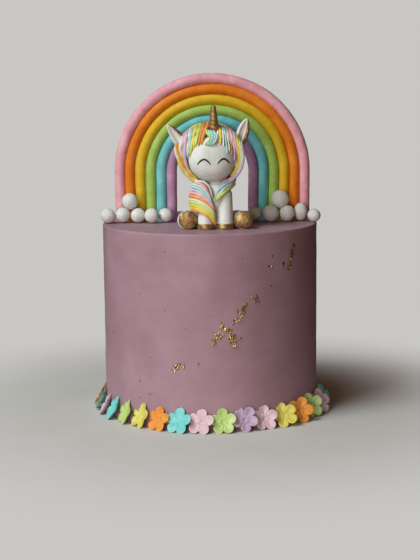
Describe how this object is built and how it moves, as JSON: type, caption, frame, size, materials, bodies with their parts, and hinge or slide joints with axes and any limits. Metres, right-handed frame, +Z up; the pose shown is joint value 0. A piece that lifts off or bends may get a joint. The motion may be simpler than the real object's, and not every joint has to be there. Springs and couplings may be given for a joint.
{
  "type": "unicorn cake",
  "caption": "Tall round iced celebration cake with a sugar-paste rainbow arch, cloud balls and a seated unicorn on top, gold flecks on its side and a ring of blossoms round its foot.",
  "frame": {"origin": "centre of the cake's flat underside, on the surface it stands on", "axes": "+Z up along the cake's axis; -Y towards the front, where the unicorn faces; +X to the right as seen from the front"},
  "size_m": [0.181, 0.1792, 0.2499],
  "materials": {
    "icing": "smooth matte mauve buttercream",
    "pink": "matte pink sugar paste",
    "orange": "matte orange sugar paste",
    "yellow": "matte yellow sugar paste",
    "green": "matte light green sugar paste",
    "blue": "matte aqua sugar paste",
    "purple": "matte lilac sugar paste",
    "white": "matte white sugar paste",
    "gold": "edible gold paint on sugar paste",
    "mane": "sugar paste strands in many pastel colours"
  },
  "bodies": {
    "root": {"cake": "icing", "rainbow_pink": "pink", "rainbow_orange": "orange", "rainbow_yellow": "yellow", "rainbow_green": "green", "rainbow_blue": "blue", "rainbow_purple": "purple", "ball_left_1": "white", "ball_left_2": "white", "ball_left_3": "white", "ball_left_4": "white", "ball_left_5": "white", "ball_right_1": "white", "ball_right_2": "white", "ball_right_3": "white", "ball_right_4": "white", "ball_right_5": "white", "ball_left_top": "white", "ball_right_top": "white", "flower_01": "green", "flower_02": "purple", "flower_03": "pink", "flower_04": "yellow", "flower_05": "orange", "flower_06": "green", "flower_07": "pink", "flower_08": "blue", "flower_09": "orange", "flower_10": "yellow", "flower_11": "blue", "flower_12": "pink", "flower_13": "green", "flower_14": "orange", "flower_15": "purple", "flower_16": "yellow", "flower_17": "blue", "flower_18": "pink", "flower_19": "orange", "flower_20": "green", "flower_21": "yellow", "flower_22": "pink", "flower_23": "blue", "flower_24": "purple", "flower_25": "orange", "flower_26": "blue", "flower_27": "pink", "flower_28": "blue", "flower_29": "green", "flower_30": "yellow", "flower_31": "orange", "flower_32": "blue", "flower_33": "pink", "unicorn_body": "white", "unicorn_head": "white", "unicorn_mane": "mane", "unicorn_horn": "gold", "unicorn_front_leg_left": "white", "unicorn_front_leg_right": "white", "unicorn_hind_leg_left": "white", "unicorn_hind_leg_right": "white"}
  },
  "joints": []
}
